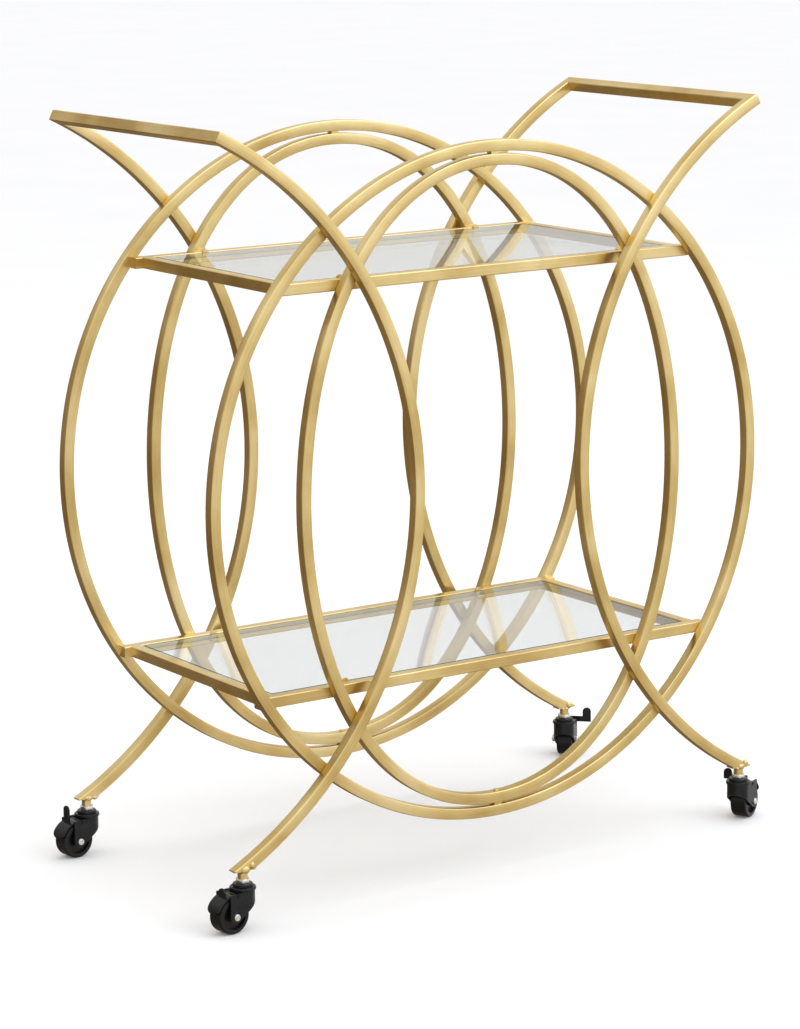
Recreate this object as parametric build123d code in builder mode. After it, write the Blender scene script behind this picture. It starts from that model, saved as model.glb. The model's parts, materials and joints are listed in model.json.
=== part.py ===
from build123d import *

import os
from math import acos, atan2, cos, degrees, hypot, pi, radians, sin, sqrt

# Bar cart on four swivel casters: two side frames of bent square tube, two glass shelves between them.
# Millimetres. X runs along the length, the front is -Y, Z is up, and the floor is Z = 0 under the centre.

os.makedirs("parts", exist_ok=True)

# Square frame tube
TUBE = 12.0
WALL = 1.0
TUBE_CORNER = 1.2
END_PLATE = 1.5

# Side frames: a ring and an oval in one layer, bowed arcs outside them
FRAME_SPACING = 303.0
RING_LIFT = 361.5
RING_HALF_WIDTH = 348.0
RING_HALF_HEIGHT = 358.0
OVAL_HALF_WIDTH = 240.0
OVAL_RING_GAP = 2.5
TACK_WIDTH = 9.0
TACK_DEPTH = 8.0
SCREW_HEAD_RADIUS = 2.6
SCREW_HEAD_HEIGHT = 1.8

ARC_RADIUS = 421.0
ARC_WAIST_X = 107.0
ARC_FOOT_ANGLE = 61.8
ARC_TOP_ANGLE = 63.3
ARC_MARGIN = 4.0
ARC_BEVEL = 0.8

# Shelves, measured from the ring's centre
UPPER_SHELF_RISE = 233.0
UPPER_RAIL_SETBACK = 6.0
LOWER_SHELF_DROP = 192.0
LOWER_RAIL_SETBACK = 0.5
SHORT_RAIL_INSET = 8.0
GLASS_THICKNESS = 5.0
GLASS_SUNK = 0.5
GLASS_GAP = 2.6
GLASS_CORNER = 3.0
CLIP_X = 180.0
CLIP_WIDTH = 7.0
CLIP_THICKNESS = 2.0
CLIP_RISE = 3.0
CLIP_FOOT = 12.0
PAD_THICKNESS = 1.2
PAD_RADIUS = 3.2

# Caster wheel and axle
WHEEL_RADIUS = 19.0
WHEEL_WIDTH = 19.0
WHEEL_EDGE = 2.2
WHEEL_RIM = 5.0
WHEEL_RECESS_DEPTH = 3.5
HUB_RADIUS = 6.0
HUB_PLAY = 0.3
TRAIL = 18.0
AXLE_RADIUS = 2.5
AXLE_HEAD_RADIUS = 3.6
AXLE_HEAD_HEIGHT = 2.2
AXLE_NUT_WALL = 1.5
AXLE_NUT_HEIGHT = 4.0
AXLE_TAIL = 1.0
RUNNING_CLEARANCE = 0.05

# Caster fork
FORK_SIDE_PLAY = 1.0
FORK_PLATE = 2.0
FORK_ROOF_PLAY = 3.0
FORK_LEAD_DEPTH = 11.0
FORK_EYE_RADIUS = 7.0
FORK_MARK_RADIUS = 0.8
FORK_MARK_U = -3.8
FORK_MARK_Z = 3.2

# Caster stem, swivel bearing and lock nut
SWIVEL_GAP = 0.3
CAP_RADIUS = 13.8
CAP_STEP = 3.3
CAP_SKIRT_HEIGHT = 3.2
CAP_CROWN_HEIGHT = 3.3
RACE_WALL = 1.8
RACE_WIDTH = 5.0
RACE_DEPTH = 2.6
BALL_PLAY = 0.3
BALLS_PER_RACE = 14
STEM_RADIUS = 4.0
STEM_FLANGE = 3.0
STEM_FLANGE_HEIGHT = 3.2
STEM_ABOVE_LEG_PLATE = 1.0
NUT_WALL = 2.8
NUT_HEIGHT = 4.7
BUSH_WALL = 1.25
BUSH_HEIGHT = 8.5

# Brake lever
LEVER_THICKNESS = 1.6
LEVER_SIDE_PLAY = 0.5
LEVER_WHEEL_GAP = 2.0
LEVER_END_ANGLE = 14.0
LEVER_END_CORNER = 7.0
PIN_RADIUS = 1.0
PIN_ANGLE = 100.0
PIN_HEAD_RADIUS = 1.9
PIN_HEAD_HEIGHT = 0.8
KNUCKLE_RADIUS = 2.0
KNUCKLE_WHEEL_GAP = 0.6
KNUCKLE_ROOF_GAP = 0.45
TAB_FORK_GAP = 1.0
TAB_WIDTH = 10.0
TAB_ARM_RISE = 2.0
TAB_SIDE = 24.0

# Each caster: side and end of the cart, trail direction, side of its axle head, side of its toe tab
# and the tab's height above the fork
CASTERS = {
    "front_left": (-1, -1, -174.0, 1, 0, 6.0),
    "back_left": (-1, 1, -174.0, 1, 0, 16.0),
    "front_right": (1, -1, 27.0, -1, 1, 8.0),
    "back_right": (1, 1, 45.0, -1, -1, 13.0),
}

# Worked-out sizes
HALF_TUBE = TUBE / 2
HALF_BORE = HALF_TUBE - WALL
RING_Y = FRAME_SPACING / 2
ARC_Y = RING_Y + TUBE
SHELF_HALF_DEPTH = RING_Y - HALF_TUBE
OVAL_HALF_HEIGHT = RING_HALF_HEIGHT - TUBE - OVAL_RING_GAP

FORK_INSIDE = WHEEL_WIDTH + 2 * FORK_SIDE_PLAY
FORK_HALF_WIDTH = FORK_INSIDE / 2 + FORK_PLATE
FORK_ROOF_UNDERSIDE = 2 * WHEEL_RADIUS + FORK_ROOF_PLAY
FORK_TOP_Z = FORK_ROOF_UNDERSIDE + FORK_PLATE
CAP_BASE_Z = FORK_TOP_Z + SWIVEL_GAP
CAP_STEP_Z = CAP_BASE_Z + CAP_SKIRT_HEIGHT
CAP_TOP_Z = CAP_STEP_Z + CAP_CROWN_HEIGHT
RACE_TOP_Z = CAP_BASE_Z + RACE_DEPTH
RACE_INNER_RADIUS = STEM_RADIUS + RACE_WALL
RACE_OUTER_RADIUS = RACE_INNER_RADIUS + RACE_WIDTH
BALL_RADIUS = (RACE_TOP_Z - FORK_TOP_Z) / 2 - BALL_PLAY
STEM_BORE_RADIUS = STEM_RADIUS + RUNNING_CLEARANCE
BUSH_BASE_Z = CAP_TOP_Z + NUT_HEIGHT
LEG_PLATE_BASE_Z = BUSH_BASE_Z + BUSH_HEIGHT
LEG_CUT_Z = LEG_PLATE_BASE_Z + END_PLATE
STEM_TOP_Z = LEG_CUT_Z + STEM_ABOVE_LEG_PLATE

LEVER_WIDTH = FORK_INSIDE - 2 * LEVER_SIDE_PLAY
LEVER_INNER_RADIUS = WHEEL_RADIUS + LEVER_WHEEL_GAP
LEVER_OUTER_RADIUS = LEVER_INNER_RADIUS + LEVER_THICKNESS
PIN_REACH = WHEEL_RADIUS + KNUCKLE_WHEEL_GAP + KNUCKLE_RADIUS
PIN_U = TRAIL + PIN_REACH * cos(radians(PIN_ANGLE))
PIN_Z = WHEEL_RADIUS + PIN_REACH * sin(radians(PIN_ANGLE))
FORK_ROOF_END_U = PIN_U - KNUCKLE_RADIUS - KNUCKLE_ROOF_GAP
FORK_BACK_U = TRAIL + FORK_EYE_RADIUS

RING_CENTRE_Z = LEG_CUT_Z + RING_LIFT
ARC_CENTRE_X = ARC_WAIST_X + ARC_RADIUS
ARC_CENTRE_Z = LEG_CUT_Z + ARC_RADIUS * sin(radians(ARC_FOOT_ANGLE))


def arc_x(radius, height):
    """Distance from the cart's middle to the given radius of an arc at a height."""
    return ARC_CENTRE_X - sqrt(radius**2 - (height - ARC_CENTRE_Z) ** 2)


def ring_edge_x(height):
    """Half the ring's outer width at a height."""
    rise = (height - RING_CENTRE_Z) / (RING_HALF_HEIGHT + HALF_TUBE)
    return (RING_HALF_WIDTH + HALF_TUBE) * sqrt(1 - rise**2)


LEG_OUTER_X = arc_x(ARC_RADIUS - HALF_TUBE, LEG_CUT_Z)
LEG_INNER_X = arc_x(ARC_RADIUS + HALF_TUBE, LEG_CUT_Z)
LEG_X = (LEG_OUTER_X + LEG_INNER_X) / 2
LEG_CUT_LENGTH = LEG_OUTER_X - LEG_INNER_X


def save(piece, name):
    """Label a finished piece and write it."""
    piece.part.label = name
    export_step(piece.part, f"parts/{name}.step")


def frame_plane(y):
    """Upright plane along the cart at depth y: its x is X and its y is Z."""
    return Plane(origin=(0, y, 0), x_dir=(1, 0, 0), z_dir=(0, -1, 0))


# Rings and ovals: closed hoops of square tube, hollow all the way round

def make_hoop(name, y, half_width, half_height):
    with BuildPart() as hoop:
        with BuildSketch(frame_plane(y)):
            with Locations((0, RING_CENTRE_Z)):
                Ellipse(half_width + HALF_TUBE, half_height + HALF_TUBE)
                Ellipse(half_width - HALF_TUBE, half_height - HALF_TUBE, mode=Mode.SUBTRACT)
        extrude(amount=HALF_TUBE, both=True)
        fillet(hoop.edges().filter_by(GeomType.ELLIPSE), TUBE_CORNER)
        with BuildSketch(frame_plane(y)):
            with Locations((0, RING_CENTRE_Z)):
                Ellipse(half_width + HALF_BORE, half_height + HALF_BORE)
                Ellipse(half_width - HALF_BORE, half_height - HALF_BORE, mode=Mode.SUBTRACT)
        extrude(amount=HALF_BORE, both=True, mode=Mode.SUBTRACT)
    save(hoop, name)


# Arcs: the bowed legs, cut level at the foot and mitred at the handle

def make_arc(name, side, end):
    centre = Vector(-ARC_CENTRE_X, end * ARC_Y, ARC_CENTRE_Z)
    lowest = radians(ARC_FOOT_ANGLE + ARC_MARGIN)
    outward = Vector(cos(lowest), 0, -sin(lowest))
    section = Plane(origin=centre + outward * ARC_RADIUS, x_dir=outward, z_dir=outward.cross(Vector(0, 1, 0)))
    with BuildPart() as arc:
        with BuildSketch(section) as profile:
            Rectangle(TUBE, TUBE)
            chamfer(profile.vertices(), ARC_BEVEL)
            Rectangle(2 * HALF_BORE, 2 * HALF_BORE, mode=Mode.SUBTRACT)
        sweep = ARC_FOOT_ANGLE + ARC_TOP_ANGLE + 2 * ARC_MARGIN
        revolve(axis=Axis(centre, (0, -1, 0)), revolution_arc=sweep)
        split(bisect_by=Plane.XY.offset(LEG_CUT_Z), keep=Keep.TOP)
        split(bisect_by=mitre_plane(end), keep=Keep.BOTTOM)
        if side > 0:
            mirror(about=Plane.YZ, mode=Mode.REPLACE)
    save(arc, name)


def handle_centre(side):
    """Point where an arc's centre line meets the handle's, in the X-Z plane."""
    angle = radians(ARC_TOP_ANGLE)
    return side * (ARC_CENTRE_X - ARC_RADIUS * cos(angle)), ARC_CENTRE_Z + ARC_RADIUS * sin(angle)


def handle_tangent(side):
    """Direction in which the arcs run into the handle."""
    angle = radians(ARC_TOP_ANGLE)
    return Vector(side * sin(angle), 0, cos(angle))


def mitre_plane(end):
    """Plane of the 45 degree corner joint between a left arc and its handle."""
    x, z = handle_centre(-1)
    return Plane(origin=(x, end * ARC_Y, z), z_dir=handle_tangent(-1) - Vector(0, end, 0))


# Handles: straight bars across the tops of the arcs, mitred at both ends

def make_handle(name, side):
    x, z = handle_centre(side)
    across = Vector(0, 1, 0)
    plane = Plane(origin=(x, 0, z), x_dir=across, z_dir=across.cross(handle_tangent(side)))
    with BuildPart() as handle:
        for half, mode in ((HALF_TUBE, Mode.ADD), (HALF_BORE, Mode.SUBTRACT)):
            with BuildSketch(plane):
                long_half = ARC_Y + half
                short_half = ARC_Y - half
                corners = [(-long_half, half), (long_half, half), (short_half, -half), (-short_half, -half)]
                Polygon(*corners, align=None)
            extrude(amount=half, both=True, mode=mode)
            if mode == Mode.ADD:
                chamfer(handle.edges().filter_by(Axis.Y), ARC_BEVEL)
    save(handle, name)


# Tacks that bridge the gap between ring and oval at the top and the bottom

def make_tacks(name, y):
    with BuildPart() as tacks:
        with BuildSketch(frame_plane(y)):
            with Locations((0, RING_CENTRE_Z)):
                Ellipse(RING_HALF_WIDTH - HALF_TUBE, RING_HALF_HEIGHT - HALF_TUBE)
                Ellipse(OVAL_HALF_WIDTH + HALF_TUBE, OVAL_HALF_HEIGHT + HALF_TUBE, mode=Mode.SUBTRACT)
                Rectangle(TACK_WIDTH, 2 * RING_HALF_HEIGHT, mode=Mode.INTERSECT)
        extrude(amount=TACK_DEPTH / 2, both=True)
    save(tacks, name)


for row, end in (("front", -1), ("back", 1)):
    make_hoop(f"{row}_ring", end * RING_Y, RING_HALF_WIDTH, RING_HALF_HEIGHT)
    make_hoop(f"{row}_oval", end * RING_Y, OVAL_HALF_WIDTH, OVAL_HALF_HEIGHT)
    make_tacks(f"{row}_weld_tacks", end * RING_Y)
    make_arc(f"{row}_left_arc", -1, end)
    make_arc(f"{row}_right_arc", 1, end)
make_handle("left_handle", -1)
make_handle("right_handle", 1)

# Screw heads on the inside of the ovals, at the bottom
oval_inner_height = OVAL_HALF_HEIGHT - HALF_TUBE
head_reach = SCREW_HEAD_RADIUS / (OVAL_HALF_WIDTH - HALF_TUBE)
screw_seat_z = RING_CENTRE_Z - oval_inner_height * sqrt(1 - head_reach**2)
with BuildPart() as oval_screws:
    with BuildSketch(Plane.XY.offset(screw_seat_z)):
        with Locations((0, -RING_Y), (0, RING_Y)):
            Circle(SCREW_HEAD_RADIUS)
    extrude(amount=SCREW_HEAD_HEIGHT)
    fillet(oval_screws.edges().group_by(Axis.Z)[-1], SCREW_HEAD_HEIGHT / 2)
save(oval_screws, "oval_screws")


# Shelves: long rails closed at their ends, short rails butted between them, a pane on four clips

def make_rail(name, plane, half_length, end_plate):
    with BuildPart() as rail:
        with BuildSketch(plane):
            RectangleRounded(TUBE, TUBE, TUBE_CORNER)
        extrude(amount=half_length, both=True)
        with BuildSketch(plane):
            Rectangle(2 * HALF_BORE, 2 * HALF_BORE)
        extrude(amount=half_length - end_plate, both=True, mode=Mode.SUBTRACT)
    save(rail, name)


def make_glass(name, top, half_length, half_depth):
    with BuildPart() as glass:
        with BuildSketch(Plane.XY.offset(top - GLASS_THICKNESS)):
            RectangleRounded(2 * half_length, 2 * half_depth, GLASS_CORNER)
        extrude(amount=GLASS_THICKNESS)
        chamfer(glass.faces().filter_by(Axis.Z).edges(), GLASS_THICKNESS / 10)
    save(glass, name)


def make_clips(name, rail_top, inner_face):
    foot_top = rail_top - GLASS_SUNK - GLASS_THICKNESS - PAD_THICKNESS
    foot_base = foot_top - CLIP_THICKNESS
    crown = rail_top + CLIP_RISE - CLIP_WIDTH / 2
    with BuildPart() as clips:
        for end in (-1, 1):
            with BuildSketch(frame_plane(end * inner_face)):
                for x in (-CLIP_X, CLIP_X):
                    with Locations((x, (foot_base + crown) / 2)):
                        Rectangle(CLIP_WIDTH, crown - foot_base)
                    with Locations((x, crown)):
                        Circle(CLIP_WIDTH / 2)
            extrude(amount=end * CLIP_THICKNESS)
            with BuildSketch(Plane.XY.offset(foot_base)):
                for x in (-CLIP_X, CLIP_X):
                    with Locations((x, end * (inner_face - CLIP_FOOT / 2))):
                        Rectangle(CLIP_WIDTH, CLIP_FOOT)
            extrude(amount=CLIP_THICKNESS)
    save(clips, name)


def make_pads(name, rail_top, inner_face):
    pad_base = rail_top - GLASS_SUNK - GLASS_THICKNESS - PAD_THICKNESS
    pad_y = inner_face - CLIP_FOOT + PAD_RADIUS
    with BuildPart() as pads:
        with BuildSketch(Plane.XY.offset(pad_base)):
            with GridLocations(2 * CLIP_X, 2 * pad_y, 2, 2):
                Circle(PAD_RADIUS)
        extrude(amount=PAD_THICKNESS)
    save(pads, name)


# Rail top, the rail edge that the ring comes closest to, and the setback of the ends from the ring
upper_shelf_top = RING_CENTRE_Z + UPPER_SHELF_RISE
lower_shelf_top = RING_CENTRE_Z - LOWER_SHELF_DROP
SHELVES = {
    "upper": (upper_shelf_top, upper_shelf_top, UPPER_RAIL_SETBACK),
    "lower": (lower_shelf_top, lower_shelf_top - TUBE, LOWER_RAIL_SETBACK),
}
long_rail_inner_y = SHELF_HALF_DEPTH - TUBE
for shelf, (rail_top, tight_edge_z, setback) in SHELVES.items():
    rail_half = ring_edge_x(tight_edge_z) - setback
    rail_z = rail_top - HALF_TUBE
    short_rail_x = rail_half - SHORT_RAIL_INSET - HALF_TUBE
    for row, end in (("front", -1), ("back", 1)):
        plane = Plane(origin=(0, end * (SHELF_HALF_DEPTH - HALF_TUBE), rail_z), z_dir=(1, 0, 0))
        make_rail(f"{shelf}_{row}_rail", plane, rail_half, END_PLATE)
    for hand, side in (("left", -1), ("right", 1)):
        plane = Plane(origin=(side * short_rail_x, 0, rail_z), z_dir=(0, 1, 0))
        make_rail(f"{shelf}_{hand}_rail", plane, long_rail_inner_y, 0)
    glass_half_length = short_rail_x - HALF_TUBE - GLASS_GAP
    make_glass(f"{shelf}_glass", rail_top - GLASS_SUNK, glass_half_length, long_rail_inner_y - GLASS_GAP)
    make_clips(f"{shelf}_glass_clips", rail_top, long_rail_inner_y)
    make_pads(f"{shelf}_glass_pads", rail_top, long_rail_inner_y)


# Feet: a plate closes each leg, a threaded bush is welded under it and a lock nut holds the caster

leg_points = [(side * LEG_X, end * ARC_Y) for side in (-1, 1) for end in (-1, 1)]
with BuildPart() as leg_plates:
    with BuildSketch(Plane.XY.offset(LEG_PLATE_BASE_Z)):
        with Locations(*leg_points):
            RectangleRounded(LEG_CUT_LENGTH, TUBE, ARC_BEVEL)
            Circle(STEM_RADIUS + RUNNING_CLEARANCE, mode=Mode.SUBTRACT)
    extrude(amount=END_PLATE)
save(leg_plates, "leg_plates")

with BuildPart() as leg_bushes:
    with BuildSketch(Plane.XY.offset(BUSH_BASE_Z)):
        with Locations(*leg_points):
            Circle(STEM_RADIUS + BUSH_WALL)
            Circle(STEM_RADIUS + RUNNING_CLEARANCE, mode=Mode.SUBTRACT)
    extrude(amount=BUSH_HEIGHT)
save(leg_bushes, "leg_bushes")

with BuildPart() as lock_nuts:
    with BuildSketch(Plane.XY.offset(CAP_TOP_Z)):
        with Locations(*leg_points):
            RegularPolygon(STEM_RADIUS + NUT_WALL, 6, major_radius=False)
            Circle(STEM_RADIUS + RUNNING_CLEARANCE, mode=Mode.SUBTRACT)
    extrude(amount=NUT_HEIGHT)
save(lock_nuts, "lock_nuts")

# Caster stems: threaded rods with a lower flange that carries the fork's roof
with BuildPart() as caster_stems:
    with BuildSketch(Plane.XY.offset(FORK_ROOF_UNDERSIDE - SWIVEL_GAP - STEM_FLANGE_HEIGHT)):
        with Locations(*leg_points):
            Circle(STEM_RADIUS + STEM_FLANGE)
    extrude(amount=STEM_FLANGE_HEIGHT)
    with BuildSketch(Plane.XY.offset(FORK_ROOF_UNDERSIDE - SWIVEL_GAP)):
        with Locations(*leg_points):
            Circle(STEM_RADIUS)
    extrude(amount=STEM_TOP_Z - FORK_ROOF_UNDERSIDE + SWIVEL_GAP)
save(caster_stems, "caster_stems")

# Swivel caps: stepped covers that hold the upper ball race
with BuildPart() as swivel_caps:
    with BuildSketch(Plane.XY.offset(CAP_BASE_Z)):
        with Locations(*leg_points):
            Circle(CAP_RADIUS)
    extrude(amount=CAP_STEP_Z - CAP_BASE_Z)
    fillet(swivel_caps.edges().group_by(Axis.Z)[-1], 1.2)
    with BuildSketch(Plane.XY.offset(CAP_STEP_Z)):
        with Locations(*leg_points):
            Circle(CAP_RADIUS - CAP_STEP)
    extrude(amount=CAP_TOP_Z - CAP_STEP_Z)
    fillet(swivel_caps.edges().group_by(Axis.Z)[-1], 1.0)
    with BuildSketch(Plane.XY.offset(CAP_BASE_Z)):
        with Locations(*leg_points):
            Circle(RACE_OUTER_RADIUS)
            Circle(RACE_INNER_RADIUS, mode=Mode.SUBTRACT)
    extrude(amount=RACE_TOP_Z - CAP_BASE_Z, mode=Mode.SUBTRACT)
    with BuildSketch(Plane.XY.offset(CAP_BASE_Z)):
        with Locations(*leg_points):
            Circle(STEM_BORE_RADIUS)
    extrude(amount=CAP_TOP_Z - CAP_BASE_Z, mode=Mode.SUBTRACT)
save(swivel_caps, "swivel_caps")

race_centre_radius = (RACE_INNER_RADIUS + RACE_OUTER_RADIUS) / 2
race_centre_z = (FORK_TOP_Z + RACE_TOP_Z) / 2
with BuildPart() as bearing_balls:
    for x, y in leg_points:
        for number in range(BALLS_PER_RACE):
            turn = 2 * pi * number / BALLS_PER_RACE
            ball_x = x + race_centre_radius * cos(turn)
            ball_y = y + race_centre_radius * sin(turn)
            with Locations((ball_x, ball_y, race_centre_z)):
                Sphere(BALL_RADIUS)
save(bearing_balls, "bearing_balls")


# Casters. Each is built on its own plane: x runs along the trail, y across the wheel, z is up.

def upright(base, across=0.0):
    """Plane of the wheel's disc, moved across the wheel: its x is the trail and its y is up."""
    return Plane(origin=base.from_local_coords((0, across, 0)), x_dir=base.x_dir, z_dir=-base.y_dir)


def fork_outline():
    """Side view of a fork: level roof, upright back, round eye and a sloping leading edge."""
    lead = (-FORK_HALF_WIDTH, FORK_TOP_Z - FORK_LEAD_DEPTH)
    start = degrees(atan2(lead[1] - WHEEL_RADIUS, lead[0] - TRAIL))
    start += degrees(acos(FORK_EYE_RADIUS / hypot(lead[0] - TRAIL, lead[1] - WHEEL_RADIUS)))
    eye = CenterArc((TRAIL, WHEEL_RADIUS), FORK_EYE_RADIUS, start, 360 - start)
    Polyline(eye @ 1, (FORK_BACK_U, FORK_TOP_Z), (-FORK_HALF_WIDTH, FORK_TOP_Z), lead, eye @ 0)


def make_fork(name, base):
    bottom = WHEEL_RADIUS - FORK_EYE_RADIUS
    half_inside = FORK_INSIDE / 2
    with BuildPart() as fork:
        with BuildSketch(base.offset(bottom)):
            Circle(FORK_HALF_WIDTH)
            with Locations((FORK_BACK_U / 2, 0)):
                Rectangle(FORK_BACK_U, 2 * FORK_HALF_WIDTH)
        extrude(amount=FORK_TOP_Z - bottom)
        with BuildSketch(upright(base)):
            with BuildLine():
                fork_outline()
            make_face()
        extrude(amount=FORK_HALF_WIDTH, both=True, mode=Mode.INTERSECT)
        with BuildSketch(base.offset(bottom)):
            Circle(half_inside)
            with Locations((FORK_BACK_U / 2, 0)):
                Rectangle(FORK_BACK_U, FORK_INSIDE)
        extrude(amount=FORK_ROOF_UNDERSIDE - bottom, mode=Mode.SUBTRACT)
        with BuildSketch(base.offset(FORK_ROOF_UNDERSIDE)):
            with Locations(((FORK_ROOF_END_U + FORK_BACK_U) / 2, 0)):
                Rectangle(FORK_BACK_U - FORK_ROOF_END_U, FORK_INSIDE)
            Circle(STEM_BORE_RADIUS)
        extrude(amount=FORK_PLATE, mode=Mode.SUBTRACT)
        with BuildSketch(upright(base)):
            with Locations((TRAIL, WHEEL_RADIUS)):
                Circle(AXLE_RADIUS + RUNNING_CLEARANCE)
            with Locations((TRAIL + FORK_MARK_U, WHEEL_RADIUS + FORK_MARK_Z)):
                Circle(FORK_MARK_RADIUS)
            with Locations((PIN_U, PIN_Z)):
                Circle(PIN_RADIUS + RUNNING_CLEARANCE)
        extrude(amount=FORK_HALF_WIDTH, both=True, mode=Mode.SUBTRACT)
    save(fork, name)


def make_wheel(name, base):
    rim = WHEEL_WIDTH / 2
    face = rim - WHEEL_RECESS_DEPTH
    hub = FORK_INSIDE / 2 - HUB_PLAY
    bore = AXLE_RADIUS + RUNNING_CLEARANCE
    recess = WHEEL_RADIUS - WHEEL_RIM
    axle_centre = base.from_local_coords((TRAIL, 0, WHEEL_RADIUS))
    section = Plane(origin=axle_centre, x_dir=base.y_dir, z_dir=base.x_dir)
    half_outline = [
        (hub, bore),
        (hub, HUB_RADIUS),
        (face, HUB_RADIUS),
        (face, recess),
        (rim, recess),
        (rim, WHEEL_RADIUS),
    ]
    other_half = [(-across, radius) for across, radius in reversed(half_outline)]
    with BuildPart() as wheel:
        with BuildSketch(section):
            Polygon(*half_outline, *other_half, align=None)
        revolve(axis=Axis(axle_centre, base.y_dir))
        circles = wheel.edges().filter_by(GeomType.CIRCLE)
        fillet(circles.filter_by(lambda edge: abs(edge.radius - WHEEL_RADIUS) < 0.01), WHEEL_EDGE)
    save(wheel, name)


def make_axle(name, base, head_side):
    plate_face = FORK_HALF_WIDTH
    tail = plate_face + AXLE_NUT_HEIGHT + AXLE_TAIL
    with BuildPart() as axle:
        with BuildSketch(upright(base, head_side * plate_face)):
            with Locations((TRAIL, WHEEL_RADIUS)):
                Circle(AXLE_HEAD_RADIUS)
        extrude(amount=-head_side * AXLE_HEAD_HEIGHT)
        fillet(axle.edges().sort_by(Axis(base.origin, base.y_dir * head_side))[-1], AXLE_HEAD_HEIGHT / 3)
        with BuildSketch(upright(base, head_side * plate_face)):
            with Locations((TRAIL, WHEEL_RADIUS)):
                Circle(AXLE_RADIUS)
        extrude(amount=head_side * (plate_face + tail))
    save(axle, name)


def make_axle_nut(name, base, head_side):
    with BuildPart() as axle_nut:
        with BuildSketch(upright(base, -head_side * FORK_HALF_WIDTH)):
            with Locations((TRAIL, WHEEL_RADIUS)):
                RegularPolygon(AXLE_RADIUS + AXLE_NUT_WALL, 6, major_radius=False)
                Circle(AXLE_RADIUS + RUNNING_CLEARANCE, mode=Mode.SUBTRACT)
        extrude(amount=head_side * AXLE_NUT_HEIGHT)
    save(axle_nut, name)


def make_lever_pin(name, base):
    with BuildPart() as lever_pin:
        with BuildSketch(upright(base)):
            with Locations((PIN_U, PIN_Z)):
                Circle(PIN_RADIUS)
        extrude(amount=FORK_HALF_WIDTH + PIN_HEAD_HEIGHT, both=True)
        for hand in (-1, 1):
            with BuildSketch(upright(base, hand * FORK_HALF_WIDTH)):
                with Locations((PIN_U, PIN_Z)):
                    Circle(PIN_HEAD_RADIUS)
            extrude(amount=-hand * PIN_HEAD_HEIGHT)
    save(lever_pin, name)


def make_lever(name, base, tab_hand, tab_rise):
    """Hood round the back of the wheel, a knuckle on the pin and a round-ended toe tab."""
    half_width = LEVER_WIDTH / 2
    hood_sweep = PIN_ANGLE - LEVER_END_ANGLE
    tab_v = tab_hand * TAB_SIDE
    tab_u = FORK_BACK_U + TAB_FORK_GAP
    arm_z = WHEEL_RADIUS + sqrt(LEVER_INNER_RADIUS**2 - (tab_u - TRAIL) ** 2)
    wheel_centre = (TRAIL, WHEEL_RADIUS)
    tab_origin = base.from_local_coords((tab_u, 0, 0))
    with BuildPart() as lever:
        with BuildSketch(upright(base)):
            with BuildLine():
                outer = CenterArc(wheel_centre, LEVER_OUTER_RADIUS, LEVER_END_ANGLE, hood_sweep)
                inner = CenterArc(wheel_centre, LEVER_INNER_RADIUS, LEVER_END_ANGLE, hood_sweep)
                Line(outer @ 0, inner @ 0)
                Line(outer @ 1, inner @ 1)
            make_face()
        extrude(amount=half_width, both=True)
        corner_edges = lever.edges().filter_by(lambda edge: abs(edge.length - LEVER_THICKNESS) < 0.01)
        fillet(corner_edges.sort_by(Axis.Z)[:2], LEVER_END_CORNER)
        with BuildSketch(upright(base)):
            with Locations((PIN_U, PIN_Z)):
                Circle(KNUCKLE_RADIUS)
        extrude(amount=half_width, both=True)
        with BuildSketch(upright(base)):
            with Locations((PIN_U, PIN_Z)):
                Circle(PIN_RADIUS + RUNNING_CLEARANCE)
        extrude(amount=half_width, both=True, mode=Mode.SUBTRACT)
        with BuildSketch(Plane(origin=tab_origin, x_dir=base.y_dir, z_dir=base.x_dir)):
            tab_round_z = FORK_TOP_Z + tab_rise - TAB_WIDTH / 2
            with Locations((tab_v, (arm_z + tab_round_z) / 2)):
                Rectangle(TAB_WIDTH, tab_round_z - arm_z)
            with Locations((tab_v, tab_round_z)):
                Circle(TAB_WIDTH / 2)
            if tab_hand:
                arm_height = FORK_TOP_Z + TAB_ARM_RISE - arm_z
                with Locations((tab_v / 2, arm_z + arm_height / 2)):
                    Rectangle(TAB_SIDE, arm_height)
        extrude(amount=LEVER_THICKNESS)
    save(lever, name)


for corner, (side, end, azimuth, head_side, tab_hand, tab_rise) in CASTERS.items():
    trail_direction = (cos(radians(azimuth)), sin(radians(azimuth)), 0)
    base = Plane(origin=(side * LEG_X, end * ARC_Y, 0), x_dir=trail_direction, z_dir=(0, 0, 1))
    make_fork(f"{corner}_fork", base)
    make_wheel(f"{corner}_wheel", base)
    make_axle(f"{corner}_axle_bolt", base, head_side)
    make_axle_nut(f"{corner}_axle_nut", base, head_side)
    make_lever_pin(f"{corner}_lever_pin", base)
    make_lever(f"{corner}_brake_lever", base, tab_hand, tab_rise)
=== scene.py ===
import json
import math

import bmesh
import bpy
from mathutils import Matrix, Vector


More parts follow.
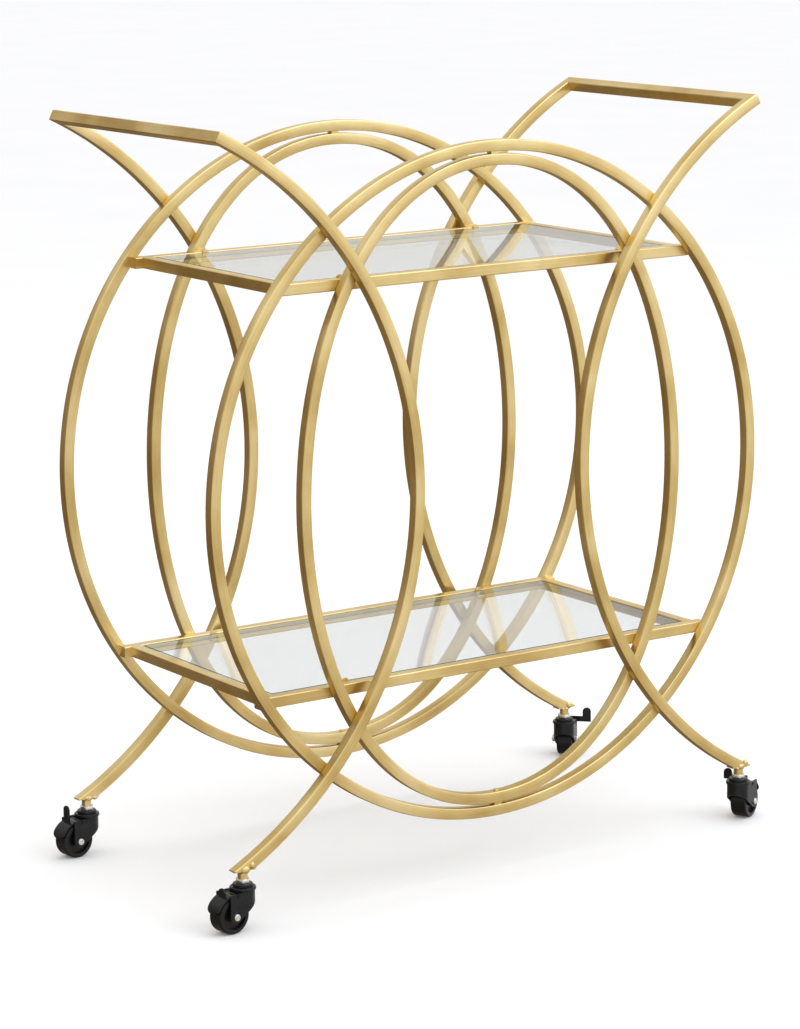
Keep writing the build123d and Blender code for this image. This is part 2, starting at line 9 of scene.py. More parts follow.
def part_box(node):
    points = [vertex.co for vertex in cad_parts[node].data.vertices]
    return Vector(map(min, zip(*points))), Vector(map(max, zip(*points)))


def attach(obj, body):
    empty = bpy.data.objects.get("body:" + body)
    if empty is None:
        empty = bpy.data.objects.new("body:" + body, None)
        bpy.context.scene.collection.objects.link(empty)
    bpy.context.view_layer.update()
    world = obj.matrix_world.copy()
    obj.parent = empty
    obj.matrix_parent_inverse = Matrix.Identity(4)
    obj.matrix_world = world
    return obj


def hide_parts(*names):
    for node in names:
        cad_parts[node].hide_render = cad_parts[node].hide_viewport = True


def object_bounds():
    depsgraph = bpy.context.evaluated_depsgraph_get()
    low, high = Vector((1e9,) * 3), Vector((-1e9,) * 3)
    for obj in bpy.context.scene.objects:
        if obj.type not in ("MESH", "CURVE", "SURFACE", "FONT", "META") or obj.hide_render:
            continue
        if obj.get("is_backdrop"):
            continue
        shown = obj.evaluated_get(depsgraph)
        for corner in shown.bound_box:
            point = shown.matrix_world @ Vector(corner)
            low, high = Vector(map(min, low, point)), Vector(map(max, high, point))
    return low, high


# Bar cart: two side frames of bent gold tube, two glass shelves and four small black casters. Metres.
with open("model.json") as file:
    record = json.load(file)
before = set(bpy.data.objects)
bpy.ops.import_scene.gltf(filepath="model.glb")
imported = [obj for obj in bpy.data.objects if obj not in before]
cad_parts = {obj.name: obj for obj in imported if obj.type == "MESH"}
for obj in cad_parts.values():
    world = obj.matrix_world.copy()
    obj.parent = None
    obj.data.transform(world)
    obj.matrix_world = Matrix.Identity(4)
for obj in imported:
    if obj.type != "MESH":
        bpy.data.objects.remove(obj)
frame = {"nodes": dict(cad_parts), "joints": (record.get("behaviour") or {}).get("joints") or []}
cad_low, cad_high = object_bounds()
bpy.ops.object.select_all(action="DESELECT")


# ---- Studio: a pale floor inside a pale dome, both kept out of reflections, and three large soft
# lamps. The gold mirrors a sky that is brightest high up at the front right and brown low down.

SKY_BRIGHT_SIDE = (0.5, -0.75, 1.2)
SKY_STOPS = [
    (0.0, (0.22, 0.165, 0.105)),
    (0.12, (0.25, 0.19, 0.13)),
    (0.22, (0.34, 0.27, 0.19)),
    (0.3, (0.52, 0.46, 0.38)),
    (0.38, (0.84, 0.83, 0.81)),
    (0.5, (0.88, 0.88, 0.88)),
    (0.66, (0.72, 0.65, 0.55)),
    (0.78, (0.64, 0.55, 0.42)),
    (0.85, (0.92, 0.88, 0.81)),
    (0.92, (1.2, 1.24, 1.32)),
]
SKY_LEAST_LEVEL = 0.26
HORIZON_STEEPNESS = 6.0
FLOOR_SIZE = 90
FLOOR_GLOW = 0.07
DOME_RADIUS = 44


class Wire:
    """One node of a shader tree and the output that it hands on. Arithmetic on wires adds Math nodes."""

    def __init__(self, tree, node=None, output=0):
        self.tree = tree
        self.made = node
        self.output = output

    @property
    def socket(self):
        return self.made.outputs[self.output]

    def out(self, output):
        return Wire(self.tree, self.made, output)

    def node(self, kind, settings=None, sockets=None):
        """Add a node: its settings first, then the values or wires of its sockets."""
        made = self.tree.nodes.new("ShaderNode" + kind)
        for name, value in (settings or {}).items():
            if name == "stops":
                ramp = made.color_ramp
                while len(ramp.elements) < len(value):
                    ramp.elements.new(0.5)
                for element, (place, colour) in zip(ramp.elements, value):
                    element.position = place
                    element.color = (*colour, 1)
            else:
                setattr(made, name, value)
        plug(made, sockets or {})
        return Wire(self.tree, made)

    def maths(self, operation, *values):
        return self.node("Math", {"operation": operation}, dict(enumerate(values)))

    def __add__(self, other):
        return self.maths("ADD", self, other)

    def __mul__(self, other):
        return self.maths("MULTIPLY", self, other)

    def __sub__(self, other):
        return self.maths("SUBTRACT", self, other)

    def __rsub__(self, other):
        return self.maths("SUBTRACT", other, self)

    def __truediv__(self, other):
        return self.maths("DIVIDE", self, other)

    def __rtruediv__(self, other):
        return self.maths("DIVIDE", other, self)

    __radd__ = __add__
    __rmul__ = __mul__


def plug(node, sockets):
    """Fill a node's sockets: a number or colour on the socket itself, or a wire into it."""
    for name, value in sockets.items():
        if isinstance(value, Wire):
            value.tree.links.new(value.socket, node.inputs[name])
        else:
            node.inputs[name].default_value = value


sky = bpy.data.worlds.new("studio_sky")
sky.use_nodes = True
bpy.context.scene.world = sky
wire = Wire(sky.node_tree)
direction = wire.node("TexCoord").out("Generated")
bright_side = wire.node(
    "VectorMath", {"operation": "DOT_PRODUCT"}, {0: direction, 1: SKY_BRIGHT_SIDE}
).out("Value")
height = wire.node("SeparateXYZ", {}, {0: direction}).out("Z")
least_level = wire.maths("MINIMUM", height * HORIZON_STEEPNESS, 1.0) * SKY_LEAST_LEVEL
sky_level = wire.maths("MAXIMUM", bright_side * 0.5 + 0.5, least_level)
sky_colour = wire.node("ValToRGB", {"stops": SKY_STOPS}, {"Fac": sky_level})
plug(sky.node_tree.nodes["Background"], {"Color": sky_colour})


def grey(level):
    return (level, level, level)


def new_material(name):
    """A material, a wire to build its nodes with, and its Principled shader."""
    material = bpy.data.materials.new(name)
    material.use_nodes = True
    return material, Wire(material.node_tree), material.node_tree.nodes["Principled BSDF"]


def noise(wire, scale, detail=2.0):
    """Noise over a piece, at so many grains to the metre."""
    place = wire.node("TexCoord").out("Object")
    return wire.node("TexNoise", {}, {"Vector": place, "Scale": scale, "Detail": detail})


def ramp(wire, factor, stops):
    """A colour read off a ramp of stops."""
    return wire.node("ValToRGB", {"stops": stops}, {"Fac": factor})


def ramp_between(wire, factor, dark, light):
    """A colour that passes from dark to light in the middle of the factor's range."""
    return ramp(wire, factor, [(0.3, dark), (0.7, light)])


def between(factor, least, most):
    """A number that follows the factor from least to most."""
    return factor * (most - least) + least


floor_paint, wire, shader = new_material("pale_floor")
plug(shader, {
    "Base Color": ramp_between(wire, noise(wire, 3.0), grey(0.88), grey(0.9)),
    "Roughness": 0.9,
    "Specular IOR Level": 0.1,
    "Emission Color": (1, 1, 1, 1),
    "Emission Strength": FLOOR_GLOW,
})
bpy.ops.mesh.primitive_plane_add(size=FLOOR_SIZE)
floor = bpy.context.object
floor.name = "floor"
floor.data.materials.append(floor_paint)
floor.visible_glossy = False
floor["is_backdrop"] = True

dome_paint, wire, shader = new_material("pale_backdrop")
plug(shader, {
    "Base Color": (0, 0, 0, 1),
    "Roughness": 1.0,
    "Specular IOR Level": 0.0,
    "Emission Color": ramp_between(wire, noise(wire, 0.02), grey(0.97), grey(1.0)),
    "Emission Strength": 1.0,
})
bpy.ops.mesh.primitive_uv_sphere_add(segments=64, ring_count=32, radius=DOME_RADIUS)
dome = bpy.context.object
dome.name = "backdrop"
dome.data.materials.append(dome_paint)
dome.visible_glossy = False
dome.visible_diffuse = False
dome.visible_shadow = False
dome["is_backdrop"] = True


def soft_lamp(name, place, aim, size, watts):
    lamp = bpy.data.lights.new(name, "AREA")
    lamp.shape = "SQUARE"
    lamp.size = size
    lamp.energy = watts
    holder = bpy.data.objects.new(name, lamp)
    bpy.context.scene.collection.objects.link(holder)
    holder.location = place
    holder.rotation_euler = (aim - Vector(place)).to_track_quat("-Z", "Y").to_euler()


cart_middle = (cad_low + cad_high) / 2
soft_lamp("key_lamp", place=(1.6, -2.6, 2.4), aim=cart_middle, size=1.6, watts=19)
soft_lamp("top_lamp", place=(0.5, 0.2, 3.2), aim=cart_middle, size=2.4, watts=16)
soft_lamp("side_lamp", place=(-2.6, 1.0, 2.2), aim=cart_middle, size=1.8, watts=6)


# ---- Camera: a long lens at the front left, a little above the handles, with its yaw, downward
# pitch and roll in radians.

CAMERA_PLACE = (-2.0817, -3.0380, 1.1196)
CAMERA_YAW = 0.5966
CAMERA_PITCH = 0.2014
CAMERA_ROLL = -0.0106
FOCAL_LENGTH = 119.66
SENSOR_WIDTH = 36

camera = bpy.data.cameras.new("camera")
camera.lens = FOCAL_LENGTH
camera.sensor_width = SENSOR_WIDTH
camera_holder = bpy.data.objects.new("camera", camera)
bpy.context.scene.collection.objects.link(camera_holder)
camera_turn = (
    Matrix.Rotation(-CAMERA_YAW, 4, "Z")
    @ Matrix.Rotation(math.pi / 2 - CAMERA_PITCH, 4, "X")
    @ Matrix.Rotation(CAMERA_ROLL, 4, "Z")
)
camera_holder.matrix_world = Matrix.Translation(CAMERA_PLACE) @ camera_turn
bpy.context.scene.camera = camera_holder
bpy.context.scene.view_settings.view_transform = "Standard"


# ---- Rings and ovals: square steel tube rolled into closed hoops, the weld ground flush, then
# the whole frame brushed along the tube and lacquered satin gold.

MILLIMETRE = 0.001
ROWS = ("front", "back")
TUBE_CORNER = 1.2 * MILLIMETRE
CORNER_STEPS = 4
HOOP_STEPS = 72
MERGE_DISTANCE = 0.001 * MILLIMETRE
SMOOTH_ANGLE = math.radians(35)
GOLD_STOPS = [(0.36, (0.6, 0.43, 0.165)), (0.5, (0.74, 0.57, 0.25)), (0.64, (0.86, 0.7, 0.37))]
TONE_SHARES = (0.3, 0.7)
SMOOTHEST_GOLD = 0.2
ROUGHENED_BY_STREAKS = 0.14
ROUGHENED_BY_CLOUDS = 0.1
STREAKS_ROUND = 9.0
STREAKS_ACROSS = 1500.0
STREAK_RELIEF = 0.2 * MILLIMETRE


def satin_gold(name, brushed):
    """Brushed gold: fine streaks from a four-way noise, and a slow drift between pale and deep gold.

    brushed takes a wire and the place on the piece, and gives the noise's vector and fourth value.
    """
    material, wire, shader = new_material(name)
    place = wire.node("TexCoord").out("Object")
    vector, depth = brushed(wire, place)
    streaks = wire.node(
        "TexNoise", {"noise_dimensions": "4D"}, {"Vector": vector, "W": depth, "Scale": 1.0, "Detail": 2.0}
    )
    clouds = noise(wire, 12.0, detail=3.0)
    relief = wire.node("Bump", {}, {"Height": streaks, "Strength": 0.12, "Distance": STREAK_RELIEF})
    tone = streaks * TONE_SHARES[0] + clouds * TONE_SHARES[1]
    plug(shader, {
        "Base Color": ramp(wire, tone, GOLD_STOPS),
        "Metallic": 1.0,
        "Roughness": streaks * ROUGHENED_BY_STREAKS + clouds * ROUGHENED_BY_CLOUDS + SMOOTHEST_GOLD,
        "Normal": relief,
    })
    return material


def gold_on_curve(name, centre, half_width, half_height):
    """Satin gold brushed round an ellipse in an upright plane, its centre and half sizes given."""

    def round_and_across(wire, place):
        split = wire.node("SeparateXYZ", {}, {0: place})
        across = (split.out("X") - centre.x) / half_width
        rise = (split.out("Z") - centre.z) / half_height
        reach = wire.maths("SQRT", across * across + rise * rise)
        parts = {
            "X": across / reach * STREAKS_ROUND,
            "Y": rise / reach * STREAKS_ROUND,
            "Z": reach * half_height * STREAKS_ACROSS,
        }
        return wire.node("CombineXYZ", {}, parts), split.out("Y") * STREAKS_ACROSS

    return satin_gold(name, round_and_across)


def gold_on_line(name, density):
    """Satin gold brushed straight, with the streaks' density along x, y and z, to the metre."""

    def straight(wire, place):
        return wire.node("Mapping", {}, {"Vector": place, "Scale": density}), 0.0

    return satin_gold(name, straight)


def select_only(piece):
    bpy.ops.object.select_all(action="DESELECT")
    piece.select_set(True)
    bpy.context.view_layer.objects.active = piece


def add_and_edit(add, **settings):
    """Add a primitive with nothing else selected, and open it in edit mode."""
    bpy.ops.object.select_all(action="DESELECT")
    add(**settings)
    bpy.ops.object.mode_set(mode="EDIT")
    bpy.ops.mesh.select_all(action="SELECT")


def close_mesh():
    """Merge doubles, turn the faces outwards and leave edit mode."""
    bpy.ops.mesh.select_all(action="SELECT")
    bpy.ops.mesh.remove_doubles(threshold=MERGE_DISTANCE)
    bpy.ops.mesh.normals_make_consistent(inside=False)
    bpy.ops.object.mode_set(mode="OBJECT")
    return bpy.context.object


def hand_in(piece, name, body, slot, *materials, instead_of=None):
    """Put the piece's place in its mesh, shade it, and give it its name, finish and body."""
    select_only(piece)
    bpy.ops.object.transform_apply(location=True, rotation=True, scale=True)
    bpy.ops.object.shade_smooth_by_angle(angle=SMOOTH_ANGLE)
    piece.name = name
    for material in materials:
        piece.data.materials.append(material)
    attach(piece, body)
    if instead_of:
        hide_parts(instead_of)


def add_tube_section(tube):
    """The rounded square end face of a tube, left open in edit mode."""
    add_and_edit(bpy.ops.mesh.primitive_plane_add, size=tube)
    bpy.ops.mesh.bevel(offset=TUBE_CORNER, segments=CORNER_STEPS, affect="VERTICES")


def tube_outline(tube):
    """The rounded square outline of a tube, as a curve."""
    add_tube_section(tube)
    bpy.ops.mesh.delete(type="ONLY_FACE")
    bpy.ops.object.mode_set(mode="OBJECT")
    bpy.ops.object.convert(target="CURVE")
    return bpy.context.object


def bend_hoop(outline, half_width, half_height):
    """A tube with the given outline bent round an ellipse, as a mesh that lies flat at the origin."""
    bpy.ops.object.select_all(action="DESELECT")
    bpy.ops.curve.primitive_bezier_circle_add(radius=half_height, enter_editmode=True)
    bpy.ops.curve.select_all(action="SELECT")
    bpy.ops.transform.resize(value=(half_width / half_height, 1, 1))
    bpy.ops.object.mode_set(mode="OBJECT")
    hoop = bpy.context.object
    hoop.data.resolution_u = HOOP_STEPS
    hoop.data.bevel_mode = "OBJECT"
    hoop.data.bevel_object = outline
    bpy.ops.object.convert(target="MESH")
    bpy.data.objects.remove(outline)
    bpy.ops.object.mode_set(mode="EDIT")
    return close_mesh()


for row in ROWS:
    for hoop in ("ring", "oval"):
        node = f"{row}_{hoop}"
        low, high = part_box(node)
        tube = high.y - low.y
        middle = (low + high) / 2
        half_width = (high.x - low.x - tube) / 2
        half_height = (high.z - low.z - tube) / 2
        piece = bend_hoop(tube_outline(tube), half_width, half_height)
        piece.matrix_world = Matrix.Translation(middle) @ Matrix.Rotation(math.pi / 2, 4, "X")
        gold = gold_on_curve(f"gold_{node}", middle, half_width, half_height)
        hand_in(piece, f"{node}_tube", "cart", "gold_frame", gold, instead_of=node)


# ---- Arcs: four bowed lengths of the same tube, rolled to one radius. Each is cut level at the
# foot and mitred at the top, where the handle is welded on.

ARC_RADIUS = 421 * MILLIMETRE
ARC_FOOT_ANGLE = math.radians(61.8)
ARC_TOP_ANGLE = math.radians(63.3)
ARC_MARGIN = math.radians(4)
ARC_STEPS = 160

arc_low, arc_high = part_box("front_left_arc")
tube = arc_high.y - arc_low.y
foot_z = arc_low.z
arc_centre_x = arc_high.x - tube / 2 - ARC_RADIUS
arc_centre_z = foot_z + ARC_RADIUS * math.sin(ARC_FOOT_ANGLE)
handle_x = arc_centre_x + ARC_RADIUS * math.cos(ARC_TOP_ANGLE)
handle_z = arc_centre_z + ARC_RADIUS * math.sin(ARC_TOP_ANGLE)
arc_end_direction = Vector((-math.sin(ARC_TOP_ANGLE), 0, math.cos(ARC_TOP_ANGLE)))


def spin_arc(y):
    """A left arc's tube, spun round its centre from below the foot to past the handle."""
    centre = (arc_centre_x, y, arc_centre_z)
    add_tube_section(tube)
    bpy.ops.transform.translate(value=(arc_centre_x + ARC_RADIUS, y, arc_centre_z))
    start = -(ARC_FOOT_ANGLE + ARC_MARGIN)
    bpy.ops.transform.rotate(value=start, orient_axis="Y", center_override=centre)
    sweep = ARC_FOOT_ANGLE + ARC_TOP_ANGLE + 2 * ARC_MARGIN
    bpy.ops.mesh.spin(steps=ARC_STEPS, angle=sweep, center=centre, axis=(0, 1, 0))


def cut_arc(y):
    """Cut the spun tube level at the foot, and mitre its top for a handle that runs across the cart."""
    bpy.ops.mesh.select_all(action="SELECT")
    bpy.ops.mesh.bisect(
        plane_co=(0, 0, foot_z), plane_no=(0, 0, 1), use_fill=True, clear_inner=True
    )
    bpy.ops.mesh.select_all(action="SELECT")
    outwards = Vector((0, math.copysign(1, y), 0))
    bpy.ops.mesh.bisect(
        plane_co=(handle_x, y, handle_z),
        plane_no=arc_end_direction - outwards,
        use_fill=True,
        clear_outer=True,
    )


for row in ROWS:
    arc_low, arc_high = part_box(f"{row}_left_arc")
    y = (arc_low.y + arc_high.y) / 2
    spin_arc(y)
    cut_arc(y)
    left = close_mesh()
    right = left.copy()
    right.data = left.data.copy()
    bpy.context.scene.collection.objects.link(right)
    right.data.transform(Matrix.Scale(-1, 4, (1, 0, 0)))
    right.data.flip_normals()
    for hand, centre_x, piece in (("left", arc_centre_x, left), ("right", -arc_centre_x, right)):
        arc = f"{row}_{hand}_arc"
        centre = Vector((centre_x, y, arc_centre_z))
        gold = gold_on_curve(f"gold_{arc}", centre, ARC_RADIUS, ARC_RADIUS)
        hand_in(piece, f"{arc}_tube", "cart", "gold_frame", gold, instead_of=arc)


# ---- Handles, rails and gold fittings: straight tubes welded to the hoops and arcs, brushed along
# their length, and the small clips, tacks, screws, foot plates and bushes. All keep their CAD shape.

HANDS = ("left", "right")
SHELVES = ("upper", "lower")
ALONG = 12.0
FITTING_GRAIN = 600.0
gold_along_x = gold_on_line("gold_along_x", (ALONG, STREAKS_ACROSS, STREAKS_ACROSS))
gold_along_y = gold_on_line("gold_along_y", (STREAKS_ACROSS, ALONG, STREAKS_ACROSS))
gold_plain = gold_on_line("gold_plain", (FITTING_GRAIN, FITTING_GRAIN, FITTING_GRAIN))


def finish_node(node, material):
    """Give a CAD node its finish."""
    part = frame["nodes"][node]
    part.data.materials.clear()
    part.data.materials.append(material)


for hand in HANDS:
    finish_node(f"{hand}_handle", gold_along_y)
for shelf in SHELVES:
    finish_node(f"{shelf}_glass_clips", gold_plain)
    for hand in HANDS:
        finish_node(f"{shelf}_{hand}_rail", gold_along_y)
    for row in ROWS:
        finish_node(f"{shelf}_{row}_rail", gold_along_x)
for node in ("front_weld_tacks", "back_weld_tacks", "oval_screws", "leg_plates", "leg_bushes"):
    finish_node(node, gold_plain)


# ---- Panes: float glass laid loose on clear pads. Their edges are ground to small chamfers, which
# look green because the light has run along inside the sheet.

GROUND_EDGE = 0.7 * MILLIMETRE
CHAMFER_SLOPE = (0.2, 0.9)
SHEET_TINT = (0.9, 0.908, 0.905, 1)
HEAD_ON_REFLECTION = 0.04
GRAZING_REFLECTION = 0.99
GRAZING_POWER = 5.0

clear_glass, wire, shader = new_material("clear_glass")
plug(shader, {
    "Base Color": (0.96, 0.98, 0.97, 1),
    "Metallic": 1.0,
    "Roughness": between(noise(wire, 9.0, detail=4.0), 0.01, 0.04),
})
sheen = Wire(clear_glass.node_tree, shader)
see_through = wire.node("BsdfTransparent", {}, {"Color": SHEET_TINT})
slant = wire.node("LayerWeight", {}, {"Blend": 0.5}).out("Facing")
grazing = wire.maths("POWER", slant, GRAZING_POWER)
reflection = between(grazing, HEAD_ON_REFLECTION, GRAZING_REFLECTION)
pane_mix = wire.node("MixShader", {}, {0: reflection, 1: see_through, 2: sheen})
plug(clear_glass.node_tree.nodes["Material Output"], {"Surface": pane_mix})

green_edge, wire, shader = new_material("green_edge")
ground = noise(wire, 900.0)
plug(shader, {
    "Base Color": ramp_between(wire, ground, (0.03, 0.1, 0.085), (0.06, 0.16, 0.135)),
    "Roughness": between(ground, 0.1, 0.3),
})

for shelf in SHELVES:
    low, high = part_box(f"{shelf}_glass")
    add_and_edit(bpy.ops.mesh.primitive_cube_add, size=1)
    bpy.ops.transform.resize(value=high - low)
    bpy.ops.transform.translate(value=(low + high) / 2)
    bpy.ops.mesh.bevel(offset=GROUND_EDGE, segments=1, affect="EDGES")
    pane = close_mesh()
    for face in pane.data.polygons:
        sloping = CHAMFER_SLOPE[0] < abs(face.normal.z) < CHAMFER_SLOPE[1]
        face.material_index = 1 if sloping else 0
    hand_in(
        pane, f"{shelf}_pane", "cart", "clear_glass", clear_glass, green_edge,
        instead_of=f"{shelf}_glass",
    )


# ---- Glass pads: small discs of soft clear plastic between the clips' feet and the panes. They
# keep their CAD shape.

soft_clear, wire, shader = new_material("soft_clear_pad")
cloudy = noise(wire, 700.0)
plug(shader, {
    "Base Color": ramp_between(wire, cloudy, (0.62, 0.62, 0.6), (0.78, 0.78, 0.76)),
    "Roughness": between(cloudy, 0.35, 0.65),
})
for shelf in SHELVES:
    finish_node(f"{shelf}_glass_pads", soft_clear)


# ---- Foot welds: a lumpy bead runs round the top of each bush, with blobs at its front, up the leg
# or beside it. No two feet are alike. All is left as laid, and lacquered with the frame.

BUSH_RADIUS = 5.25 * MILLIMETRE
BEAD_RADIUS = 1.7 * MILLIMETRE
WELD_ROUGHNESS = 0.35 * MILLIMETRE
WELD_VOXEL = 0.45 * MILLIMETRE
SEEDS_PER_WELD = 10

# In millimetres. Every blob lies equally far in front of the leg's middle, and has its place across
# the leg, its height above the bush's top, and its half sizes.
BLOB_FORWARD = 5.6
WELD_BLOBS = {
    "front_left": (
        (0.5, 1.4, (5.4, 2.4, 4.0)),
        (8.4, 4.8, (3.2, 2.4, 3.8)),
    ),
    "back_left": (
        (0.0, 0.8, (4.8, 1.9, 2.6)),
        (7.5, 0.6, (3.2, 2.6, 2.6)),
    ),
    "front_right": (
        (0.0, 1.0, (4.8, 2.2, 3.0)),
        (5.4, 3.8, (3.6, 2.6, 4.4)),
        (-6.0, -0.6, (2.2, 2.0, 1.5)),
    ),
    "back_right": (
        (3.2, 3.0, (4.4, 2.6, 4.0)),
        (-6.0, -0.6, (2.2, 2.0, 1.5)),
    ),
}
CORNERS = tuple(WELD_BLOBS)
bush_low, bush_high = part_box("leg_bushes")
leg_x = (bush_high.x - bush_low.x) / 2 - BUSH_RADIUS
leg_y = (bush_high.y - bush_low.y) / 2 - BUSH_RADIUS


def leg_place(corner, height):
    """The place on the upright line through a corner's caster stem, at a height."""
    side = -1 if corner.endswith("left") else 1
    end = -1 if corner.startswith("front") else 1
    return Vector((side * leg_x, end * leg_y, height))


def add_bead(place, seed):
    """A rough ring of weld round the top of a bush."""
    add_and_edit(
        bpy.ops.mesh.primitive_torus_add,
        major_radius=BUSH_RADIUS,
        minor_radius=BEAD_RADIUS,
        major_segments=30,
        minor_segments=10,
    )
    bpy.ops.transform.vertex_random(offset=WELD_ROUGHNESS, seed=seed)
    bpy.ops.transform.translate(value=place - Vector((0, 0, BEAD_RADIUS / 2)))
    bpy.ops.object.mode_set(mode="OBJECT")
    return bpy.context.object


def add_blob(place, half_sizes, seed):
    """A small rough lump, its place and half sizes given."""
    add_and_edit(bpy.ops.mesh.primitive_ico_sphere_add, subdivisions=3, radius=1)
    bpy.ops.transform.resize(value=half_sizes)
    bpy.ops.transform.vertex_random(offset=WELD_ROUGHNESS, seed=seed)
    bpy.ops.transform.translate(value=place)
    bpy.ops.object.mode_set(mode="OBJECT")
    return bpy.context.object


def join_all(parts):
    """Join the parts into the first one."""
    bpy.ops.object.select_all(action="DESELECT")
    for part in parts:
        part.select_set(True)
    bpy.context.view_layer.objects.active = parts[0]
    bpy.ops.object.join()
    return bpy.context.object


for weld_seed, (corner, blobs) in enumerate(WELD_BLOBS.items()):
    foot = leg_place(corner, bush_high.z)
    laid = [add_bead(foot, weld_seed)]
    for number, (across, rise, half_sizes) in enumerate(blobs):
        place = foot + Vector((across, -BLOB_FORWARD, rise)) * MILLIMETRE
        half_sizes = [half_size * MILLIMETRE for half_size in half_sizes]
        laid.append(add_blob(place, half_sizes, weld_seed * SEEDS_PER_WELD + number))
    weld = join_all(laid)
    weld.data.remesh_voxel_size = WELD_VOXEL
    bpy.ops.object.voxel_remesh()
    hand_in(weld, f"{corner}_foot_weld", "cart", "gold_frame", gold_plain)


# ---- Lock nuts: zinc-plated hexagonal nuts with broken edges, run up each stem against its bush.
# The four are one piece, as they are in CAD.

ZINC_STOPS = [(0.0, (0.62, 0.63, 0.65)), (0.6, (0.8, 0.81, 0.83))]
NUT_SIDES = 6
NUT_EDGE = 0.5 * MILLIMETRE

zinc, wire, shader = new_material("zinc_plate")
place = wire.node("TexCoord").out("Object")
crystals = wire.node("TexVoronoi", {}, {"Vector": place, "Scale": 900.0}).out("Distance")
plug(shader, {
    "Base Color": ramp(wire, crystals, ZINC_STOPS),
    "Metallic": 1.0,
    "Roughness": between(crystals, 0.18, 0.33),
})

nut_low, nut_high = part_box("lock_nuts")
nut_radius = (nut_high.x - nut_low.x) / 2 - leg_x
nuts = []
for corner in CORNERS:
    add_and_edit(
        bpy.ops.mesh.primitive_cylinder_add,
        vertices=NUT_SIDES,
        radius=nut_radius,
        depth=nut_high.z - nut_low.z,
        rotation=(0, 0, math.pi / NUT_SIDES),
        location=leg_place(corner, (nut_low.z + nut_high.z) / 2),
    )
    bpy.ops.mesh.bevel(offset=NUT_EDGE, segments=2, affect="EDGES")
    nuts.append(close_mesh())
hand_in(join_all(nuts), "chamfered_lock_nuts", "cart", "zinc", zinc, instead_of="lock_nuts")


# ---- Axle heads: each caster's axle bolt has a domed zinc head against one side of the fork. It
# encloses the CAD bolt's plain head, whose flat face fills the shallow round socket. HEAD_SEAT is
# how far from the wheel's middle it starts.

HEAD_RADIUS = 3.75 * MILLIMETRE
HEAD_DEPTH = 2.3 * MILLIMETRE
HEAD_DOME = 1.0 * MILLIMETRE
SOCKET_RADIUS = 2.0 * MILLIMETRE
SOCKET_DEPTH = 0.5 * MILLIMETRE
HEAD_SIDES = 40
DOME_STEPS = 5
FACING_UP = 0.999
HEAD_SEAT = 12.4 * MILLIMETRE


def domed_head():
    """An axle bolt's head, standing at the origin with its dome and socket towards +z."""
    add_and_edit(
        bpy.ops.mesh.primitive_cylinder_add, vertices=HEAD_SIDES, radius=HEAD_RADIUS, depth=HEAD_DEPTH
    )
    edit = bmesh.from_edit_mesh(bpy.context.object.data)
    for edge in edit.edges:
        edge.select_set(all(vertex.co.z > 0 for vertex in edge.verts))
    bpy.ops.mesh.bevel(offset=HEAD_DOME, segments=DOME_STEPS, affect="EDGES")
    edit = bmesh.from_edit_mesh(bpy.context.object.data)
    for face in edit.faces:
        face.select_set(face.normal.z > FACING_UP)
    bpy.ops.mesh.inset(thickness=HEAD_RADIUS - HEAD_DOME - SOCKET_RADIUS)
    bpy.ops.mesh.inset(thickness=SOCKET_DEPTH, depth=-SOCKET_DEPTH)
    return close_mesh()


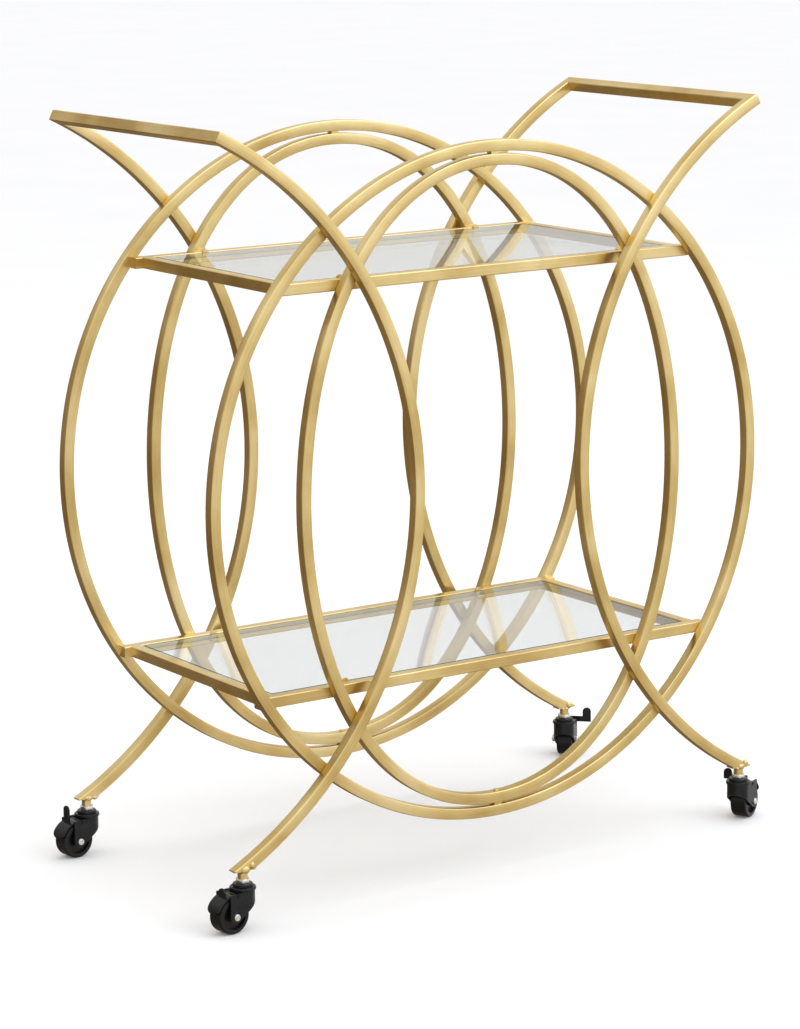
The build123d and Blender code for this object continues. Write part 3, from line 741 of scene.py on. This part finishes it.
for corner in CORNERS:
    spin = next(joint for joint in frame["joints"] if joint["name"] == f"{corner}_wheel_spin")
    axle, centre = Vector(spin["axis"]), Vector(spin["pos_m"])
    bolt_low, bolt_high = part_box(f"{corner}_axle_bolt")
    # The bolt reaches further on its nut's side, so its head is on the other.
    if ((bolt_low + bolt_high) / 2 - centre).dot(axle) > 0:
        axle.negate()
    head = domed_head()
    place = centre + axle * (HEAD_SEAT + HEAD_DEPTH / 2)
    head.matrix_world = Matrix.Translation(place) @ axle.to_track_quat("Z", "Y").to_matrix().to_4x4()
    hand_in(head, f"{corner}_axle_head", f"{corner}_swivel", "zinc", zinc)


# ---- Casters: a moulded black fork under a stepped cap, a hard black wheel, and a black brake
# lever on its pin. Stems, axle bolts and nuts are zinc-plated. All keep their CAD shape.

COOL_TINT = (0.9, 1.0, 1.25)
BLACK_SPECULAR = 0.28
BLACK_DRIFT = 90.0
BLACK_RELIEF = 0.1 * MILLIMETRE
ROUGHENED_BY_GRAIN = 0.12
ROUGHENED_BY_DRIFT = 0.1


def moulded_black(name, darkest, lightest, smoothest, grain):
    """Cool black plastic: a slow drift between two levels, and a fine grain at so many to the metre."""
    material, wire, shader = new_material(name)
    fine, slow = noise(wire, grain), noise(wire, BLACK_DRIFT)
    dark, light = [tuple(level * tint for tint in COOL_TINT) for level in (darkest, lightest)]
    relief = wire.node("Bump", {}, {"Height": fine, "Strength": 0.2, "Distance": BLACK_RELIEF})
    plug(shader, {
        "Base Color": ramp_between(wire, slow, dark, light),
        "Roughness": fine * ROUGHENED_BY_GRAIN + slow * ROUGHENED_BY_DRIFT + smoothest,
        "Specular IOR Level": BLACK_SPECULAR,
        "Normal": relief,
    })
    return material


fork_black = moulded_black("moulded_fork_black", 0.006, 0.011, smoothest=0.16, grain=2600.0)
wheel_black = moulded_black("hard_wheel_black", 0.004, 0.008, smoothest=0.2, grain=1400.0)
lever_black = moulded_black("lever_black", 0.005, 0.009, smoothest=0.14, grain=2200.0)

finish_node("caster_stems", zinc)
finish_node("swivel_caps", fork_black)
finish_node("bearing_balls", zinc)
for corner in CORNERS:
    finish_node(f"{corner}_fork", fork_black)
    finish_node(f"{corner}_wheel", wheel_black)
    finish_node(f"{corner}_axle_bolt", zinc)
    finish_node(f"{corner}_axle_nut", zinc)
    finish_node(f"{corner}_lever_pin", lever_black)
    finish_node(f"{corner}_brake_lever", lever_black)


# ---- Size: the box of the finished visual model is measured, as the CAD model's was at the start.

low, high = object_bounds()
